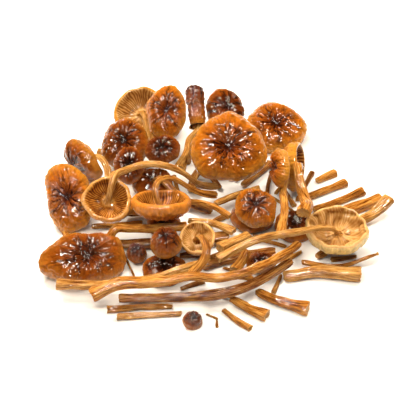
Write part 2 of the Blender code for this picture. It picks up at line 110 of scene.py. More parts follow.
def valleys(points, cell, seed, sharpness, power):
    # Thin lines that branch and join, 1 in the middle of each and 0 between them
    return (1 - sharpness * np.abs(softNoise(points, cell, seed))).clip(0, 1) ** power


def patchy(points, cell, seed, share):
    # A strength of 1 that falls by up to twice the share in patches one cell across
    return 1 + share * (softNoise(points, cell, seed) - 1)


def fade(values, start, end):
    # 0 before start, 1 after end, smooth between; it falls instead where end is under start
    t = np.clip((values - start) / (end - start), 0, 1)
    return t * t * (3 - 2 * t)


def select(piece):
    bpy.ops.object.select_all(action="DESELECT")
    bpy.context.view_layer.objects.active = piece
    piece.select_set(True)


def meshPoints(mesh, name="co"):
    values = np.empty(len(mesh.vertices) * 3)
    mesh.vertices.foreach_get(name, values)
    return values.reshape(-1, 3)


def storeNumbers(mesh, name, values, kind="FLOAT"):
    field = "vector" if kind == "FLOAT_VECTOR" else "value"
    mesh.attributes.new(name, kind, "POINT").data.foreach_set(field, values.astype(np.float32).ravel())


def readNumbers(mesh, name):
    values = np.empty(len(mesh.vertices), np.float32)
    mesh.attributes[name].data.foreach_get("value", values)
    return values.astype(float)


# Skins: each is a smooth copy of its node. A node is a row of rings of points, from the crown of a
# cap or one end of a loose stem to the last end. The rings of a stem have eight points.
stemSides = 8


def mergedCopy(nodeName):
    piece = bpy.data.objects.new(nodeName + "_skin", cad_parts[nodeName].data.copy())
    scene.collection.objects.link(piece)
    select(piece)
    bpy.ops.mesh.customdata_custom_splitnormals_clear()
    bpy.ops.object.mode_set(mode="EDIT")
    bpy.ops.mesh.select_all(action="SELECT")
    bpy.ops.mesh.remove_doubles(threshold=0.001 * mm)
    bpy.ops.object.mode_set(mode="OBJECT")
    piece.data.materials.clear()
    return piece


def ringsFrom(start, links):
    # Groups of points by how many edges they are away from the start
    seen = {start}
    rings = [[start]]
    while rings[-1]:
        following = []
        for point in rings[-1]:
            for other in links[point]:
                if other not in seen:
                    seen.add(other)
                    following.append(other)
        rings.append(following)
    return rings[:-1]


def cageRings(mesh):
    # The node's rings in order, each walked around the same way, and the angle of each point on its ring
    links = [[] for vertex in mesh.vertices]
    for edge in mesh.edges:
        first, second = edge.vertices
        links[first].append(second)
        links[second].append(first)
    for start in sorted(range(len(links)), key=lambda point: -len(links[point])):
        rings = ringsFrom(start, links)
        if len(rings[-1]) == 1 and min(len(ring) for ring in rings[1:-1]) >= stemSides:
            break
    else:
        return None, None
    points = meshPoints(mesh)
    ordered = [rings[0]]
    angles = np.zeros(len(points))
    for ring in rings[1:-1]:
        members = set(ring)
        walk = [ring[0]]
        while len(walk) < len(ring):
            walk.append(next(other for other in links[walk[-1]] if other in members and other not in walk))
        size = len(walk)
        turns = np.arange(size) * 2 * math.pi / size
        previous = ordered[-1]
        if len(previous) == size:
            options = [walk[shift:] + walk[:shift] for shift in range(size)]
            options += [option[::-1] for option in options]
            walk = min(options, key=lambda option: np.square(points[option] - points[previous]).sum())
            angles[walk] = angles[previous]
        elif len(previous) == 1:
            angles[walk] = turns
        else:
            fits = []
            for order in (walk, walk[::-1]):
                pull = sum(
                    np.exp(1j * (angles[other] - turn))
                    for point, turn in zip(order, turns) for other in links[point] if other in previous
                )
                fits.append((abs(pull), order, turns + np.angle(pull)))
            walk, turned = max(fits, key=lambda fit: fit[0])[1:]
            angles[walk] = turned
        ordered.append(walk)
    ordered.append(rings[-1])
    return ordered, angles


def quadCage(piece, rings, angles):
    # Stores each point's place on its rings, then takes out the edges that cross each four-sided face
    mesh = piece.data
    stepOf = np.zeros(len(mesh.vertices))
    placeOf = np.zeros(len(mesh.vertices), int)
    for step, ring in enumerate(rings):
        stepOf[ring] = step
        placeOf[ring] = np.arange(len(ring))
    inner = (stepOf > 0) & (stepOf < len(rings) - 1)
    storeNumbers(mesh, "step", stepOf)
    storeNumbers(mesh, "turnX", np.cos(angles) * inner)
    storeNumbers(mesh, "turnY", np.sin(angles) * inner)
    bpy.context.tool_settings.mesh_select_mode = (False, True, False)
    bpy.ops.object.mode_set(mode="EDIT")
    bpy.ops.mesh.select_all(action="DESELECT")
    bpy.ops.object.mode_set(mode="OBJECT")
    for edge in mesh.edges:
        first, second = edge.vertices
        sameSize = len(rings[int(stepOf[first])]) == len(rings[int(stepOf[second])]) > 1
        if stepOf[first] != stepOf[second] and sameSize and placeOf[first] != placeOf[second]:
            edge.select = True
    bpy.ops.object.mode_set(mode="EDIT")
    bpy.ops.mesh.dissolve_edges(use_verts=False)
    bpy.ops.object.mode_set(mode="OBJECT")


def tightenCage(mesh, rounds=3, share=0.85):
    # Subdividing pulls a cage in, so its points go out until the smooth skin passes where they were
    wanted = meshPoints(mesh)
    near = [set() for point in wanted]
    across = [[] for point in wanted]
    for polygon in mesh.polygons:
        corners = list(polygon.vertices)
        for i, corner in enumerate(corners):
            before, after = corners[i - 1], corners[(i + 1) % len(corners)]
            near[corner].update((before, after))
            opposite = corners[(i + 2) % len(corners)]
            across[corner].append((opposite,) if len(corners) == 4 else (before, after))
    cage = wanted.copy()
    for turn in range(rounds):
        limit = np.empty_like(cage)
        for i, point in enumerate(cage):
            n = len(near[i])
            sides = cage[list(near[i])].sum(axis=0)
            corners = sum(cage[list(ends)].mean(axis=0) for ends in across[i])
            limit[i] = (n * n * point + 4 * sides + corners) / (n * (n + 5))
        cage += (wanted - limit) * share
    mesh.vertices.foreach_set("co", cage.ravel())


def smoothSkin(piece, levels):
    select(piece)
    bpy.ops.object.modifier_add(type="SUBSURF")
    modifier = piece.modifiers[-1]
    modifier.levels = modifier.render_levels = levels
    bpy.ops.object.modifier_apply(modifier=modifier.name)


def ringDistances(points, rings):
    # How far along the surface of a cap or the line of a stem each ring is, in mm
    centres = [points[ring].mean(axis=0) for ring in rings]
    gaps = []
    for first, second, start, end in zip(rings, rings[1:], centres, centres[1:]):
        if len(rings[1]) > stemSides and (len(second) > stemSides or len(first) == 1):
            gaps.append(np.linalg.norm(points[second] - points[first], axis=1).mean())
        else:
            gaps.append(np.linalg.norm(end - start))
    return np.concatenate([[0], np.cumsum(gaps)]) / mm


flatStem = {
    "grain": 0.45,  # mm
    "smoothing": 6,  # rounds
    "curve": 3,  # the order of the curve that follows its line
    "spacing": 6.5,  # mm from ring to ring
    "face": 0.6,  # mm from an end's middle to its edge, along the stem
}


def evenSkin(piece):
    # A stem that lies pressed flat has no even rings, so it is remeshed and measured along its own line
    select(piece)
    bpy.ops.object.modifier_add(type="REMESH")
    piece.modifiers[-1].mode = "VOXEL"
    piece.modifiers[-1].voxel_size = flatStem["grain"] * mm
    bpy.ops.object.modifier_apply(modifier=piece.modifiers[-1].name)
    bpy.ops.object.modifier_add(type="SMOOTH")
    piece.modifiers[-1].iterations = flatStem["smoothing"]
    bpy.ops.object.modifier_apply(modifier=piece.modifiers[-1].name)
    points = meshPoints(piece.data)
    middle = points.mean(axis=0)
    axes = np.linalg.svd(points - middle, full_matrices=False)[2]
    along, side, up = ((points - middle) @ axis for axis in axes)
    side = side - np.polyval(np.polyfit(along, side, flatStem["curve"]), along)
    up = up - np.polyval(np.polyfit(along, up, flatStem["curve"]), along)
    length = along.max() - along.min()
    lastStep = max(3, round(length / mm / flatStem["spacing"]) + 2)
    angle = np.arctan2(up, side)
    face = flatStem["face"] * mm
    places = [along.min(), along.min() + face, along.max() - face, along.max()]
    storeNumbers(piece.data, "step", np.interp(along, places, [0, 1, lastStep - 1, lastStep]))
    storeNumbers(piece.data, "turnX", np.cos(angle))
    storeNumbers(piece.data, "turnY", np.sin(angle))
    return np.concatenate([[0], np.linspace(0, length / mm, lastStep - 1), [length / mm]])


# Relief. Depths and widths are in mm, and a pair is where a fade starts and ends. Each noise has a
# number of its own added to the piece's seed, so no two patterns repeat each other.
zones = {  # in rings from the crown
    "rim": 6,
    "rimRoll": 6.3,
    "rimRollWidth": 0.9,
    "cap": (6.6, 6.1),
    "gillsStart": (6.7, 7.4),
    "gillsEnd": (9.6, 8.9),
    "stem": (9.4, 10.2),
    "firstStemFace": 9.6,
    "cut": (0.95, 0.6),  # from an end
}
capWear = {
    "bend": 1.6,
    "bendLength": 7,
    "fineBend": 0.35,
    "fineBendLength": 2.4,
    "sway": 0.11,
    "drift": 0.6,
    "circle": 6,  # about the length of a circle of radius 1, so that there is a cell for each fold
    "thinCircle": 3.2,  # half of that, for twice as many thin folds
    "foldSharpness": 3.2,
    "foldPower": 1.2,
    "foldDepth": 0.8,
    "thinFoldDepth": 0.3,
    "filmShare": 0.6,
    "foldEnd": 0.56,
    "foldEndSpread": 0.3,
    "foldEndFade": 0.2,
    "foldEndTurn": 0.25,  # radians around the cap over which the end keeps its length
    "foldStart": (0.02, 0.1),
    "eye": (0.13, 0.0),
    "eyeDepth": 0.7,
    "netWidth": 3.0,
    "fineNetWidth": 1.8,
    "netWarp": 0.9,
    "netWarpWidth": 4,
    "netSharpness": 1.9,
    "netPower": 2,
    "netShare": 0.55,  # of the wide net, and the rest is the fine one
    "netPatches": 0.35,
    "netPatchWidth": 9,
    "netStart": (0.25, 0.55),
    "netDepth": 0.8,
    "lumps": 0.4,
    "lumpWidth": 5,
    "lumpStart": (0.1, 0.5),
    "crinkle": 0.12,
    "crinkleWidth": 1.6,
    "ribs": 36,
    "ribSway": 0.5,
    "ribPower": 1.5,
    "ribStart": (0.35, 0.65),
    # How dark the painted shade is down in each kind of hollow
    "creasePower": 1.5,
    "foldCrease": 1.1,
    "thinFoldCrease": 0.77,
    "eyeCrease": 0.7,
    "netCrease": 0.35,
}
gillWear = {
    "depth": 0.45,
    "platesPerSide": 2,
    "drift": 0.9,
    "driftLength": 5,
    "patches": 0.3,
    "patchWidth": 3,
    "crumple": 0.5,
    "crumpleWidth": 3.5,
    "crumpleSharpness": 1.6,
    "flattened": 0.75,  # how much of its plates a crumpled cap loses
    # How dark the painted shade is down between the plates and in the crumpled hollows
    "creaseShade": 0.8,
    "creaseLost": 0.6,
    "crumpleCrease": 0.3,
}
stemWear = {
    "grooves": 13,
    "grooveKinds": 4,  # so many counts of grooves, each one more than the last
    "grooveDepth": 0.6,
    "groovePower": 1.6,
    "groovePatches": 0.4,
    "groovePatchWidth": 1.6,
    "furrows": 2,
    "furrowDepth": 0.55,
    "furrowSway": 1.5,
    "swell": 0.4,
    "swellWidth": 1.2,
    "swellStretch": (0.3, 0.3, 1.6),
    "twist": 0.035,
    "sway": 1.3,
    "swayWidth": 2.5,
    # How dark the painted shade is in the grooves and the furrows
    "grooveCrease": 0.8,
    "furrowCrease": 0.3,
    "endFlattened": 0.6,
    "rag": 0.5,
    "ragWidth": 1.6,
}


# Where a surface is looked up in the noise. A cap is laid flat. A stem is a tube whose length is squeezed,
# which draws a pattern out along the fibres. Each piece is shifted to a place of its own.
capShift = 13.7
foldTube = {"radius": 3, "squeeze": 0.14, "shift": 9.3}
grainTube = {"radius": 3, "squeeze": 0.12, "shift": 5.1}


def flatPlaces(angle, run, seed):
    return np.stack([np.cos(angle) * run, np.sin(angle) * run, np.full(len(run), capShift * seed)], axis=1)


def tubePlaces(angle, run, seed, tube):
    along = run * tube["squeeze"] + tube["shift"] * seed
    return np.stack([np.cos(angle) * tube["radius"], np.sin(angle) * tube["radius"], along], axis=1)


def capFolds(points, angle, run, reach, seed, folds, ribDepth):
    # Folds run out from the eye, fork and end at their own lengths. A net of wrinkles lies outside them.
    flat = flatPlaces(angle, run, seed)
    fineBend = capWear["fineBend"] * softNoise(flat, capWear["fineBendLength"], seed + 1)
    bend = capWear["bend"] * (softNoise(flat, capWear["bendLength"], seed) + fineBend)
    rays = np.stack([np.cos(angle), np.sin(angle), reach * capWear["drift"] + seed], axis=1)
    rays += capWear["sway"] * bend[:, None]
    shape = (capWear["foldSharpness"], capWear["foldPower"])
    valley = valleys(rays * folds / capWear["circle"], 1, seed + 15, *shape)
    thin = valleys(rays * folds / capWear["thinCircle"], 1, seed + 16, *shape)
    around = flat * [1, 1, 0] / run.clip(1)[:, None]
    spread = capWear["foldEndSpread"] * softNoise(around, capWear["foldEndTurn"], seed + 2)
    ends = capWear["foldEnd"] + spread
    near = fade(reach, ends + capWear["foldEndFade"], ends - capWear["foldEndFade"])
    near *= fade(reach, *capWear["foldStart"])
    eye = fade(reach, *capWear["eye"])

    warped = points + capWear["netWarp"] * softNoise(points, capWear["netWarpWidth"], seed + 19)[:, None]
    shape = (capWear["netSharpness"], capWear["netPower"])
    net = valleys(warped, capWear["netWidth"], seed + 9, *shape) * capWear["netShare"]
    net += valleys(warped, capWear["fineNetWidth"], seed + 10, *shape) * (1 - capWear["netShare"])
    wrinkle = net * patchy(points, capWear["netPatchWidth"], seed + 11, capWear["netPatches"])
    wrinkle *= fade(reach, *capWear["netStart"])
    lump = 0.5 - 0.5 * softNoise(points, capWear["lumpWidth"], seed + 3)
    ribs = 1 - np.abs(np.sin(angle * capWear["ribs"] / 2 + capWear["ribSway"] * bend))

    thinSink = capWear["thinFoldDepth"] * thin * near
    filmSink = capWear["foldDepth"] * valley * near + capWear["eyeDepth"] * eye
    filmSink += capWear["filmShare"] * thinSink + capWear["netDepth"] * wrinkle
    filmSink += capWear["lumps"] * lump * fade(reach, *capWear["lumpStart"])
    filmSink += ribDepth * ribs ** capWear["ribPower"] * fade(reach, *capWear["ribStart"])
    sink = filmSink + (1 - capWear["filmShare"]) * thinSink
    sink += capWear["crinkle"] * softNoise(points, capWear["crinkleWidth"], seed + 4)
    # Painted shade, darker down in the folds, in the net of wrinkles and in the eye's pit
    creaseShade = capWear["foldCrease"] * valley ** capWear["creasePower"]
    creaseShade = np.maximum(creaseShade, capWear["thinFoldCrease"] * thin ** capWear["creasePower"]) * near
    creaseShade += capWear["eyeCrease"] * eye + capWear["netCrease"] * wrinkle
    return sink, filmSink, creaseShade


def rolledFolds(step, angle, run, seed, rolled):
    # A cap rolled up around its stem swells in the middle and is drawn in by bands around it
    wander = softNoise(flatPlaces(angle, run, seed), 4, seed + 18)
    bands = 1 - np.abs(np.sin(run * math.pi / rolled["bandWidth"] + 2 * wander))
    bulge = np.exp(-((step - rolled["middle"]) / rolled["width"]) ** 2)
    return rolled["bands"] * bands * fade(step, *zones["cap"]) - rolled["bulge"] * bulge


def gillFolds(points, angle, sectors, seed, crumpled):
    # Thin plates with sharp gaps between them, which crumpling flattens, with painted shade down in the gaps
    # and in the crumpled hollows
    drift = gillWear["drift"] * softNoise(points, gillWear["driftLength"], seed + 12)
    plates = angle / (2 * math.pi) * sectors * gillWear["platesPerSide"] + drift
    gap = 1 - np.abs(plates % 1 - 0.5) * 2
    crumple = valleys(points, gillWear["crumpleWidth"], seed + 13, gillWear["crumpleSharpness"], 1)
    sink = gillWear["depth"] * gap * patchy(points, gillWear["patchWidth"], seed + 14, gillWear["patches"])
    sink *= 1 - gillWear["flattened"] * min(crumpled, 1)
    sink += (gillWear["crumple"] + crumpled) * crumple ** 2
    creaseShade = gillWear["creaseShade"] * (1 - gillWear["creaseLost"] * min(crumpled, 1)) * gap
    return sink, creaseShade + gillWear["crumpleCrease"] * crumple ** 3


def stemFolds(angle, run, seed):
    # Many fine grooves and a few wide furrows, which turn slowly around the stem, and the painted shade down
    # in them
    around = tubePlaces(angle, run, seed, foldTube)
    wander = stemWear["sway"] * softNoise(around, stemWear["swayWidth"], seed + 5)
    count = stemWear["grooves"] + seed % stemWear["grooveKinds"]
    turned = angle + stemWear["twist"] * run * (1 if seed % 2 else -1)
    groove = (1 - np.abs(np.sin(turned * count / 2 + wander))) ** stemWear["groovePower"]
    groove *= patchy(around, stemWear["groovePatchWidth"], seed + 6, stemWear["groovePatches"])
    furrow = 0.5 + 0.5 * np.cos(turned * stemWear["furrows"] + stemWear["furrowSway"] * wander + seed)
    furrow *= furrow
    swell = 0.5 + 0.5 * softNoise(around * stemWear["swellStretch"], stemWear["swellWidth"], seed + 7)
    sink = stemWear["grooveDepth"] * groove + stemWear["furrowDepth"] * furrow + stemWear["swell"] * swell
    return sink, np.clip(stemWear["grooveCrease"] * groove + stemWear["furrowCrease"] * furrow, 0, 1)


def wearPlaces(mesh, distances):
    # Each point's ring, the angle on it and the way along the surface in mm
    step = readNumbers(mesh, "step")
    angle = np.arctan2(readNumbers(mesh, "turnY"), readNumbers(mesh, "turnX"))
    return step, angle, np.interp(step, np.arange(len(distances)), distances)


def storeLook(mesh, angle, run, seed, creaseShade, cut):
    # The numbers that the materials read. The crease shade is painted shade for the hollows. The grain is a
    # space that is drawn out along the fibres.
    storeNumbers(mesh, "creaseShade", creaseShade)
    storeNumbers(mesh, "cut", cut)
    storeNumbers(mesh, "grain", tubePlaces(angle, run, seed, grainTube), "FLOAT_VECTOR")


def wearMushroom(mesh, sectors, distances, seed, look):
    points, normals = meshPoints(mesh) / mm, meshPoints(mesh, "normal")
    step, angle, run = wearPlaces(mesh, distances)
    reach = run / distances[zones["rim"]]
    onCap = fade(step, *zones["cap"])
    onGills = fade(step, *zones["gillsStart"]) * fade(step, *zones["gillsEnd"])
    onStem = fade(step, *zones["stem"])
    capSink, filmSink, capCrease = capFolds(points, angle, run, reach, seed, look["folds"], look["ribs"])
    gillSink, gillCrease = gillFolds(points, angle, sectors, seed, look["crumpled"])
    stemSink, stemCrease = stemFolds(angle, run, seed)
    rest = gillSink * onGills + stemSink * onStem
    rest -= look["rimRoll"] * np.exp(-((step - zones["rimRoll"]) / zones["rimRollWidth"]) ** 2)
    if look["rolled"]:
        rest += rolledFolds(step, angle, run, seed, look["rolled"])

    # The wet film bridges the finest wrinkles, so it shines by a smoother surface than the skin's
    mesh.vertices.foreach_set("co", ((points - normals * (filmSink * onCap + rest)[:, None]) * mm).ravel())
    mesh.update()
    storeNumbers(mesh, "film", meshPoints(mesh, "normal"), "FLOAT_VECTOR")
    mesh.vertices.foreach_set("co", ((points - normals * (capSink * onCap + rest)[:, None]) * mm).ravel())
    # Painted shade for the cap's folds, wrinkles and eye pit, the gaps between the gills and the stem's
    # grooves
    creaseShade = np.clip(capCrease * onCap + gillCrease * onGills + stemCrease * onStem, 0, 1)
    lastStep = len(distances) - 1
    storeNumbers(mesh, "reach", reach)
    storeLook(mesh, angle, run, seed, creaseShade, fade(lastStep - step, *zones["cut"]))
    return step


def wearStem(mesh, distances, seed):
    points, normals = meshPoints(mesh) / mm, meshPoints(mesh, "normal")
    step, angle, run = wearPlaces(mesh, distances)
    sink, creaseShade = stemFolds(angle, run, seed)
    lastStep = len(distances) - 1
    cut = np.maximum(fade(lastStep - step, *zones["cut"]), fade(step, *zones["cut"]))
    sink *= 1 - stemWear["endFlattened"] * cut
    sink += stemWear["rag"] * softNoise(points, stemWear["ragWidth"], seed + 17) * cut
    mesh.vertices.foreach_set("co", ((points - normals * sink[:, None]) * mm).ravel())
    # Painted shade for the grooves, none on the cut ends
    storeLook(mesh, angle, run, seed, creaseShade * (1 - cut), cut)


def setZoneMaterials(mesh, step, skinEnd):
    # Skin up to its end, then gills, then stem. Every face has four corners.
    corners = np.empty(len(mesh.loops), int)
    mesh.loops.foreach_get("vertex_index", corners)
    starts = np.empty(len(mesh.polygons), int)
    mesh.polygons.foreach_get("loop_start", starts)
    middle = (step[corners[starts]] + step[corners[starts + 2]]) / 2
    zone = np.where(middle < skinEnd, 0, np.where(middle < zones["firstStemFace"], 1, 2))
    mesh.polygons.foreach_set("material_index", zone)


# Materials

def toLinear(hexColour):
    channels = [int(hexColour[i:i + 2], 16) / 255 for i in (1, 3, 5)]
    return tuple(c / 12.92 if c <= 0.04045 else ((c + 0.055) / 1.055) ** 2.4 for c in channels) + (1.0,)


def addNode(material, kind, settings=None, links=None, stops=None, **options):
    node = material.node_tree.nodes.new("ShaderNode" + kind)
    for name, value in options.items():
        setattr(node, name, value)
    for place, value in (settings or {}).items():
        node.inputs[place].default_value = value
    for place, source in (links or {}).items():
        material.node_tree.links.new(source, node.inputs[place])
    if stops:
        ramp = node.color_ramp
        while len(ramp.elements) < len(stops):
            ramp.elements.new(0.5)
        for element, (place, colour) in zip(ramp.elements, stops):
            element.position = place
            element.color = toLinear(colour)
    return node


def newMaterial(name):
    material = bpy.data.materials.new(name)
    material.use_nodes = True
    material.node_tree.nodes.clear()
    return material


def strandLines(material, strands, width):
    # Thin lines where the noise passes its middle, 1 on the line and 0 beside it
    gap = addNode(material, "Math", {1: 0.5}, {0: strands.outputs["Fac"]}, operation="SUBTRACT")
    size = addNode(material, "Math", links={0: gap.outputs[0]}, operation="ABSOLUTE")
    return addNode(material, "MapRange", {
        "From Min": 0.0, "From Max": width, "To Min": 1.0, "To Max": 0.0,
    }, {"Value": size.outputs[0]})


capTones = {
    "places": (0.0, 0.14, 0.38, 0.7, 0.97),  # from the eye to the rim
    "orange": ["#3A1204", "#78320A", "#A34E10", "#B8611A", "#C27628"],
    "amber": ["#3A1204", "#73300A", "#984A0F", "#AA5D12", "#BA7A26"],
    "russet": ["#240A03", "#552007", "#76350B", "#8E480F", "#A66822"],
    "dark": ["#1A0702", "#3A1305", "#5A2509", "#76360D", "#94541A"],
    "ochre": ["#4A200A", "#884612", "#A85F1A", "#B97224", "#C88A40"],
    "pale": ["#5A3A18", "#976B30", "#B88A40", "#C79C50", "#D6B470"],
    # The colour of the painted shade in the creases, the sunken strands and the eye's pit
    "paintedShade": "#140504",
}


def capSkin(name, colours):
    # Soaked mushroom skin: thin, wet and pliable over soft flesh, so light sits on it in small sharp spots
    material = newMaterial(name)
    space = addNode(material, "TexCoord").outputs["Object"]
    reach = addNode(material, "Attribute", attribute_name="reach").outputs["Fac"]
    creaseShade = addNode(material, "Attribute", attribute_name="creaseShade").outputs["Fac"]
    grain = addNode(material, "Attribute", attribute_name="grain").outputs["Vector"]
    film = addNode(material, "Attribute", attribute_name="film").outputs["Vector"]

    # Tone: dark at the eye and light at the rim, with an uneven border and streaks that run outwards
    clouds = addNode(material, "TexNoise", {
        "Scale": 1 / (6 * mm), "Detail": 4, "Roughness": 0.6,
    }, {"Vector": space})
    pushed = addNode(material, "Math", {1: 0.5, 2: -0.25}, {
        0: clouds.outputs["Fac"],
    }, operation="MULTIPLY_ADD")
    place = addNode(material, "Math", links={0: reach, 1: pushed.outputs[0]}, operation="ADD")
    stops = list(zip(capTones["places"], colours))
    tone = addNode(material, "ValToRGB", links={"Fac": place.outputs[0]}, stops=stops)
    streaks = addNode(material, "TexNoise", {"Scale": 2.6, "Detail": 5, "Roughness": 0.65}, {"Vector": grain})
    streakShade = addNode(material, "MapRange", {
        "From Min": 0.35, "From Max": 0.7, "To Min": 0.72, "To Max": 1.18,
    }, {"Value": streaks.outputs["Fac"]})
    streaked = addNode(material, "VectorMath", links={
        0: tone.outputs["Color"], 3: streakShade.outputs[0],
    }, operation="SCALE")

    # Painted shade in the sunken strands near the eye and in the creases
    strands = addNode(material, "TexNoise", {"Scale": 3.2, "Detail": 2}, {"Vector": grain})
    strandLine = strandLines(material, strands, 0.05)
    nearEye = addNode(material, "MapRange", {
        "From Min": 0.25, "From Max": 0.75, "To Min": 1.0, "To Max": 0.15,
    }, {"Value": place.outputs[0]})
    thinLines = addNode(material, "Math", links={
        0: strandLine.outputs[0], 1: nearEye.outputs[0],
    }, operation="MULTIPLY")
    shadowed = addNode(material, "Math", {1: 0.45}, {
        0: thinLines.outputs[0], 2: creaseShade,
    }, operation="MULTIPLY_ADD")
    darkened = addNode(material, "MapRange", {
        "From Min": 0.0, "From Max": 0.9, "To Min": 0.0, "To Max": 0.88,
    }, {"Value": shadowed.outputs[0]})
    mixed = addNode(material, "Mix", {7: toLinear(capTones["paintedShade"])}, {
        0: darkened.outputs[0], 6: streaked.outputs[0],
    }, data_type="RGBA")

    # Pebbled skin with sunken strands
    pebbles = addNode(material, "TexVoronoi", {
        "Scale": 1 / (1.1 * mm),
    }, {"Vector": space}, feature="SMOOTH_F1")
    grit = addNode(material, "TexNoise", {"Scale": 1 / (0.7 * mm), "Detail": 3}, {"Vector": space})
    rough = addNode(material, "Math", {1: 0.6}, {
        0: pebbles.outputs["Distance"], 2: grit.outputs["Fac"],
    }, operation="MULTIPLY_ADD")
    sunk = addNode(material, "Math", {1: -0.8}, {
        0: thinLines.outputs[0], 2: rough.outputs[0],
    }, operation="MULTIPLY_ADD")
    bump = addNode(material, "Bump", {"Strength": 0.7, "Distance": 0.4 * mm}, {"Height": sunk.outputs[0]})

    # The wet film over it, dimpled
    dimples = addNode(material, "TexNoise", {
        "Scale": 1 / (1.7 * mm), "Detail": 1, "Roughness": 0.4,
    }, {"Vector": space})
    wetHeight = addNode(material, "Math", {1: 0.6}, {
        0: strands.outputs["Fac"], 2: dimples.outputs["Fac"],
    }, operation="MULTIPLY_ADD")
    wetBump = addNode(material, "Bump", {"Strength": 0.6, "Distance": 0.5 * mm}, {
        "Height": wetHeight.outputs[0], "Normal": film,
    })
    shader = addNode(material, "BsdfPrincipled", {
        "Roughness": 0.5, "IOR": 1.4, "Specular IOR Level": 0.0, "Coat Weight": 1.0, "Coat Roughness": 0.03,
        "Subsurface Weight": 0.05, "Subsurface Radius": (1.6, 0.6, 0.25), "Subsurface Scale": mm,
    }, {"Base Color": mixed.outputs[2], "Normal": bump.outputs[0], "Coat Normal": wetBump.outputs[0]})
    addNode(material, "OutputMaterial", links={"Surface": shader.outputs[0]})
    return material


gillTones = {
    "places": (0.1, 0.45, 0.75, 0.95),  # from the painted shade down between the gills to their edges
    "olive": ["#4A260C", "#865424", "#AE7C3E", "#CCA066"],
    "brown": ["#3A1A08", "#6E3A12", "#96602A", "#B07C3C"],
    "golden": ["#4A220A", "#854816", "#AE6E26", "#C88F42"],
    "tan": ["#6A3E18", "#94622E", "#B28246", "#C89E66"],
}


def gillFlesh(name, colours):
    # Soaked gills: thin soft plates, with painted shade down between them and in the crumpled hollows, so
    # they are pale along their edges
    material = newMaterial(name)
    space = addNode(material, "TexCoord").outputs["Object"]
    creaseShade = addNode(material, "Attribute", attribute_name="creaseShade").outputs["Fac"]
    clouds = addNode(material, "TexNoise", {
        "Scale": 1 / (4 * mm), "Detail": 4, "Roughness": 0.6,
    }, {"Vector": space})
    depth = addNode(material, "Math", {1: 0.9, 2: 0.5}, {
        0: clouds.outputs["Fac"],
    }, operation="MULTIPLY_ADD")
    # Painted shade, darker down between the plates and in the crumpled hollows
    height = addNode(material, "Math", links={0: depth.outputs[0], 1: creaseShade}, operation="SUBTRACT")
    stops = list(zip(gillTones["places"], colours))
    tone = addNode(material, "ValToRGB", links={"Fac": height.outputs[0]}, stops=stops)
    bump = addNode(material, "Bump", {
        "Strength": 0.4, "Distance": 0.15 * mm,
    }, {"Height": clouds.outputs["Fac"]})
    shader = addNode(material, "BsdfPrincipled", {
        "Roughness": 0.45, "IOR": 1.4, "Specular IOR Level": 0.0, "Coat Weight": 0.4, "Coat Roughness": 0.06,
        "Subsurface Weight": 0.15, "Subsurface Radius": (1.6, 0.9, 0.4), "Subsurface Scale": mm,
    }, {"Base Color": tone.outputs["Color"], "Normal": bump.outputs[0]})
    addNode(material, "OutputMaterial", links={"Surface": shader.outputs[0]})
    return material


stemTones = {
    "places": (0.34, 0.52, 0.67, 0.86),  # from the painted shade of the grooves to the ridges
    "tan": ["#40200A", "#7C4415", "#A66A28", "#C28C44"],
    "brown": ["#2C1104", "#603012", "#8A5526", "#AB7B3E"],
    "pale": ["#552A0E", "#8A5622", "#AE7A3A", "#C89858"],
    "cut": "#B98C52",
}


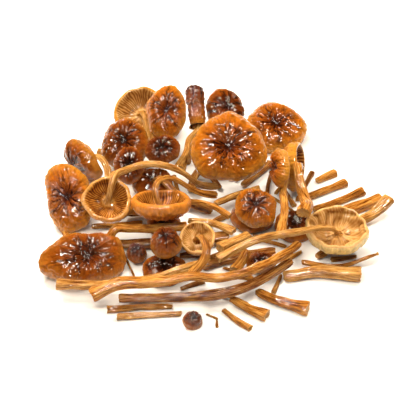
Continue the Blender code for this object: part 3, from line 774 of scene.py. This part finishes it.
def stemFlesh(name, colours):
    # Soaked mushroom stem: long fibres under a thin wet skin, with painted shade where it is grooved
    material = newMaterial(name)
    space = addNode(material, "TexCoord").outputs["Object"]
    grain = addNode(material, "Attribute", attribute_name="grain").outputs["Vector"]
    creaseShade = addNode(material, "Attribute", attribute_name="creaseShade").outputs["Fac"]
    cut = addNode(material, "Attribute", attribute_name="cut").outputs["Fac"]

    # Tone: streaks along the fibres, darker lines, painted shade in the grooves, and paler flesh on a cut end
    fibres = addNode(material, "TexNoise", {"Scale": 1.6, "Detail": 5, "Roughness": 0.52}, {"Vector": grain})
    clouds = addNode(material, "TexNoise", {"Scale": 1 / (9 * mm), "Detail": 3}, {"Vector": space})
    both = addNode(material, "Math", {1: 0.5}, {
        0: clouds.outputs["Fac"], 2: fibres.outputs["Fac"],
    }, operation="MULTIPLY_ADD")
    strands = addNode(material, "TexNoise", {"Scale": 1.5, "Detail": 2}, {"Vector": grain})
    strandLine = strandLines(material, strands, 0.035)
    lined = addNode(material, "Math", {1: -0.12}, {
        0: strandLine.outputs[0], 2: both.outputs[0],
    }, operation="MULTIPLY_ADD")
    # Painted shade, darker down in the grooves and furrows
    lower = addNode(material, "Math", {1: -0.3}, {
        0: creaseShade, 2: lined.outputs[0],
    }, operation="MULTIPLY_ADD")
    stops = list(zip(stemTones["places"], colours))
    tone = addNode(material, "ValToRGB", links={"Fac": lower.outputs[0]}, stops=stops)
    cutShare = addNode(material, "Math", {1: 0.6}, {0: cut}, operation="MULTIPLY")
    mixed = addNode(material, "Mix", {7: toLinear(stemTones["cut"])}, {
        0: cutShare.outputs[0], 6: tone.outputs["Color"],
    }, data_type="RGBA")

    height = addNode(material, "Math", {1: -0.5}, {
        0: strandLine.outputs[0], 2: fibres.outputs["Fac"],
    }, operation="MULTIPLY_ADD")
    bump = addNode(material, "Bump", {"Strength": 0.8, "Distance": 0.4 * mm}, {"Height": height.outputs[0]})
    wetBump = addNode(material, "Bump", {
        "Strength": 0.45, "Distance": 0.35 * mm,
    }, {"Height": both.outputs[0]})
    shader = addNode(material, "BsdfPrincipled", {
        "Roughness": 0.45, "IOR": 1.4, "Specular IOR Level": 0.0, "Coat Weight": 0.6, "Coat Roughness": 0.05,
        "Subsurface Weight": 0.15, "Subsurface Radius": (1.6, 0.9, 0.4), "Subsurface Scale": mm,
    }, {"Base Color": mixed.outputs[2], "Normal": bump.outputs[0], "Coat Normal": wetBump.outputs[0]})
    addNode(material, "OutputMaterial", links={"Surface": shader.outputs[0]})
    return material


skins = {kind: capSkin("wetCapSkin_" + kind, capTones[kind])
         for kind in ("orange", "amber", "russet", "dark", "ochre", "pale")}
gills = {kind: gillFlesh("wetGills_" + kind, gillTones[kind]) for kind in ("olive", "brown", "golden", "tan")}
flesh = {kind: stemFlesh("wetStem_" + kind, stemTones[kind]) for kind in ("tan", "brown", "pale")}
print("materials made")

# Each mushroom. The rim's roll, the ribs and the crumpling are in mm, and the skin ends at a ring.
plainMushroom = {
    "skin": "dark", "gills": "brown", "stem": "brown", "folds": 20, "levels": 3, "rimRoll": 0.25,
    "ribs": 0.12, "crumpled": 0, "skinEnd": 6.6, "rolled": None,
}
mushrooms = {
    "mushroom_01": {"levels": 2},
    "mushroom_02": {"levels": 2},
    "mushroom_03": {"levels": 2},
    "mushroom_04": {"levels": 2},
    "mushroom_05": {"levels": 2},
    "mushroom_06": {"skin": "amber", "folds": 34, "levels": 4},
    "mushroom_07": {"skin": "russet", "stem": "tan", "folds": 38, "levels": 4},
    "mushroom_08": {"skin": "amber", "stem": "tan", "folds": 34, "levels": 4},
    "mushroom_09": {"skin": "amber", "gills": "tan", "stem": "pale", "rimRoll": 0.8, "skinEnd": 7.0},
    "mushroom_10": {"skin": "amber", "gills": "olive", "stem": "tan", "folds": 36, "levels": 4},
    "mushroom_11": {"skin": "russet", "folds": 30, "levels": 4},
    "mushroom_12": {"skin": "russet", "gills": "olive", "stem": "pale", "rimRoll": 0.7, "crumpled": 0.5,
                    "skinEnd": 7.1},
    "mushroom_13": {"folds": 18},
    "mushroom_14": {"levels": 4},
    "mushroom_15": {"skin": "russet", "stem": "pale", "folds": 12, "levels": 4, "rimRoll": -1.0,
                    "rolled": {"bulge": 2.2, "middle": 3.2, "width": 1.7, "bands": 0.6, "bandWidth": 2.6}},
    "mushroom_16": {"skin": "russet"},
    "mushroom_17": {"skin": "orange", "gills": "golden", "stem": "tan", "folds": 18, "rimRoll": 1.6,
                    "ribs": 0.2, "skinEnd": 7.5},
    "mushroom_18": {"skin": "ochre", "gills": "golden", "stem": "pale", "folds": 18, "rimRoll": 0.9,
                    "skinEnd": 7.1},
    "mushroom_19": {"skin": "amber", "stem": "tan", "folds": 40, "levels": 4},
    "mushroom_20": {"skin": "amber", "stem": "tan", "folds": 28, "levels": 4, "ribs": 0.25},
    "mushroom_21": {"skin": "ochre", "gills": "olive", "stem": "tan", "folds": 16},
    "mushroom_22": {"skin": "ochre", "gills": "olive", "stem": "tan", "folds": 18, "rimRoll": 0.6,
                    "crumpled": 1.0},
    "mushroom_23": {"folds": 18},
    "mushroom_24": {"skin": "russet", "folds": 14},
    "mushroom_25": {"folds": 16},
    "mushroom_26": {"folds": 14},
    "mushroom_27": {"skin": "pale", "gills": "tan", "stem": "pale", "rimRoll": 0.6, "crumpled": 1.5},
    "mushroom_28": {"skin": "amber", "stem": "tan", "folds": 22, "rimRoll": 0.5, "ribs": 0.55,
                    "skinEnd": 7.1},
    "mushroom_29": {"skin": "amber", "stem": "tan", "folds": 16, "ribs": 0.4},
    "mushroom_30": {"folds": 14},
}

# The loose stems that aren't plain tan ones
plainStem = {"flesh": "tan", "levels": 3}
stems = {
    "stem_01": {"flesh": "brown", "levels": 2},
    "stem_02": {"flesh": "brown", "levels": 2},
    "stem_03": {"flesh": "brown", "levels": 2},
    "stem_04": {"flesh": "brown", "levels": 2},
    "stem_05": {"flesh": "brown", "levels": 2},
    "stem_06": {"flesh": "brown"},
    "stem_10": {"flesh": "pale"},
    "stem_16": {"flesh": "pale"},
    "stem_17": {"flesh": "pale"},
    "stem_21": {"flesh": "pale"},
    "stem_23": {"flesh": "pale"},
    "stem_25": {"flesh": "pale"},
    "stem_27": {"flesh": "brown"},
    "stem_28": {"flesh": "pale"},
    "stem_29": {"flesh": "pale"},
}

triangles = 0
for seed, nodeName in enumerate(sorted(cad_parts), start=1):
    isMushroom = nodeName in mushrooms
    if isMushroom:
        look = {**plainMushroom, **mushrooms[nodeName]}
    else:
        look = {**plainStem, **stems.get(nodeName, {})}
    piece = mergedCopy(nodeName)
    rings, angles = cageRings(piece.data)
    if rings:
        distances = ringDistances(meshPoints(piece.data), rings)
        quadCage(piece, rings, angles)
        tightenCage(piece.data)
        smoothSkin(piece, look["levels"])
    else:
        distances = evenSkin(piece)
    if isMushroom:
        step = wearMushroom(piece.data, len(rings[1]), distances, seed, look)
        for material in (skins[look["skin"]], gills[look["gills"]], flesh[look["stem"]]):
            piece.data.materials.append(material)
        setZoneMaterials(piece.data, step, look["skinEnd"])
    else:
        wearStem(piece.data, distances, seed)
        piece.data.materials.append(flesh[look["flesh"]])
    select(piece)
    bpy.ops.object.shade_smooth()
    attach(piece, "root")
    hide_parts(nodeName)
    triangles += len(piece.data.polygons) * 2
print("skins made,", triangles, "triangles")

# Short broken pieces of stem that lie on the floor in the gaps of the heap, each copied from a stem above
strays = {
    "from": ["stem_13_skin", "stem_12_skin", "stem_25_skin", "stem_20_skin", "stem_09_skin", "stem_24_skin",
             "stem_08_skin"],
    "seed": 7,
    "most": 38,
    "tries": 9000,
    "reach": (74, 64),  # mm from the middle of the heap
    "thickness": (0.4, 0.9),  # times that of the stem it is copied from
    "measured": (0.95, 9),  # share of its half length, and points along it
    "overlap": 0.1,  # mm
    "closedIn": 30,  # mm to the nearest thing
    "closedWays": (6, 8),  # at least so many of so many ways are closed in
    "lift": 0.05,  # mm above the floor
    "tanEvery": 3,
}
chance = np.random.default_rng(strays["seed"])
corners, faces = [], []
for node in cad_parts.values():
    faces += [[len(corners) + corner for corner in polygon.vertices] for polygon in node.data.polygons]
    corners += [vertex.co for vertex in node.data.vertices]
heap = BVHTree.FromPolygons(corners, faces)
fewestWays, ways = strays["closedWays"]
compass = [Vector((math.cos(turn), math.sin(turn), 0)) for turn in np.arange(ways) * 2 * math.pi / ways]
share, pointCount = strays["measured"]
sources = []
for name in strays["from"]:
    mesh = bpy.data.objects[name].data
    points = meshPoints(mesh) / mm
    middle = points.mean(axis=0)
    axis = np.linalg.svd(points - middle, full_matrices=False)[2][0]
    half = np.abs((points - middle) @ axis).max()
    radius = np.linalg.norm(np.cross(points - middle, axis), axis=1).max()
    sources.append((mesh, Vector(middle), Vector(axis), half, radius))
laid = []
for turn in range(strays["tries"]):
    mesh, middle, axis, half, radius = sources[turn % len(sources)]
    spot = chance.uniform(-1, 1, 2)
    heading = chance.uniform(0, math.pi)
    thick = chance.uniform(*strays["thickness"])
    if len(laid) >= strays["most"] or np.hypot(*spot) > 1:
        continue
    width = radius * thick
    centre = np.array([*(spot * strays["reach"]), width])
    ahead = np.array([math.cos(heading), math.sin(heading), 0])
    line = [centre + ahead * along * half for along in np.linspace(-share, share, pointCount)]
    if min(heap.find_nearest(Vector(point) * mm)[3] / mm for point in line) < width - strays["overlap"]:
        continue
    hits = [heap.ray_cast(Vector(centre) * mm, way, strays["closedIn"] * mm)[0] for way in compass]
    if sum(hit is not None for hit in hits) < fewestWays:
        continue
    if any(np.linalg.norm(point - other) < 2 * width for bit in laid for other in bit for point in line):
        continue
    laid.append(line)
    piece = bpy.data.objects.new("strayStem_%02d" % len(laid), mesh.copy())
    scene.collection.objects.link(piece)
    flat = axis.to_track_quat("X", "Z").to_matrix().transposed().to_4x4()
    thinner = Matrix.Diagonal((1, thick, thick, 1))
    place = Matrix.Translation(Vector(centre) * mm) @ Matrix.Rotation(heading, 4, "Z")
    piece.data.transform(place @ thinner @ flat @ Matrix.Translation(-middle * mm))
    low = meshPoints(piece.data)[:, 2].min()
    piece.data.transform(Matrix.Translation((0, 0, strays["lift"] * mm - low)))
    piece.data.materials.clear()
    piece.data.materials.append(flesh["brown" if len(laid) % strays["tanEvery"] else "tan"])
    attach(piece, "root")
    triangles += len(piece.data.polygons) * 2
print(len(laid), "stray stems laid,", triangles, "triangles in all")

# Floor: plain matt paint, nearly white
paleFloor = {"size": 3, "colour": "#EDEBE7", "roughness": 0.7}
bpy.ops.mesh.primitive_plane_add(size=paleFloor["size"])
floor = bpy.context.object
floor.name = "paleFloor"
paint = newMaterial("matFloorPaint")
shader = addNode(paint, "BsdfPrincipled", {
    "Base Color": toLinear(paleFloor["colour"]),
    "Roughness": paleFloor["roughness"],
    "Specular IOR Level": 0.0,
})
addNode(paint, "OutputMaterial", links={"Surface": shader.outputs[0]})
floor.data.materials.append(paint)
floor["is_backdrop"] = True

# Light: the soft lamps light the heap, and the windows only make the small highlights on its wet skin
lightColour = "#FFF4E4"
lights = {
    "backSoft": {"place": (-0.28, 0.34, 0.5), "size": 0.2, "power": 6.0, "shine": False},
    "sideSoft": {"place": (0.26, 0.1, 0.5), "size": 0.1, "power": 2.2, "shine": False},
    "frontSoft": {"place": (-0.15, -0.3, 0.6), "size": 0.3, "power": 2.6, "shine": False},
    "overheadSoft": {"place": (-0.05, -0.15, 0.7), "size": 0.6, "power": 2.8, "shine": False},
    "backWindow": {"place": (-0.28, 0.34, 0.5), "size": 0.16, "power": 17, "shine": True},
    "topWindow": {"place": (0.08, -0.1, 0.7), "size": 0.1, "power": 8, "shine": True},
    "frontWindow": {"place": (-0.2, -0.38, 0.6), "size": 0.1, "power": 8, "shine": True},
}
for name, light in lights.items():
    data = bpy.data.lights.new(name, "AREA")
    data.size = light["size"]
    data.energy = light["power"]
    data.color = toLinear(lightColour)[:3]
    lamp = bpy.data.objects.new(name, data)
    lamp.location = light["place"]
    lamp.rotation_euler = (-Vector(light["place"])).to_track_quat("-Z", "Y").to_euler()
    lamp.visible_glossy = light["shine"]
    lamp.visible_diffuse = not light["shine"]
    scene.collection.objects.link(lamp)
softStudio = {"colour": "#FFFFFF", "strength": 0.32}
world = bpy.data.worlds.new("softStudio")
world.use_nodes = True
world.node_tree.nodes["Background"].inputs["Color"].default_value = toLinear(softStudio["colour"])
world.node_tree.nodes["Background"].inputs["Strength"].default_value = softStudio["strength"]
world.cycles_visibility.glossy = False
scene.world = world
scene.view_settings.view_transform = "Standard"
print("floor and lights made")

low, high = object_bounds()
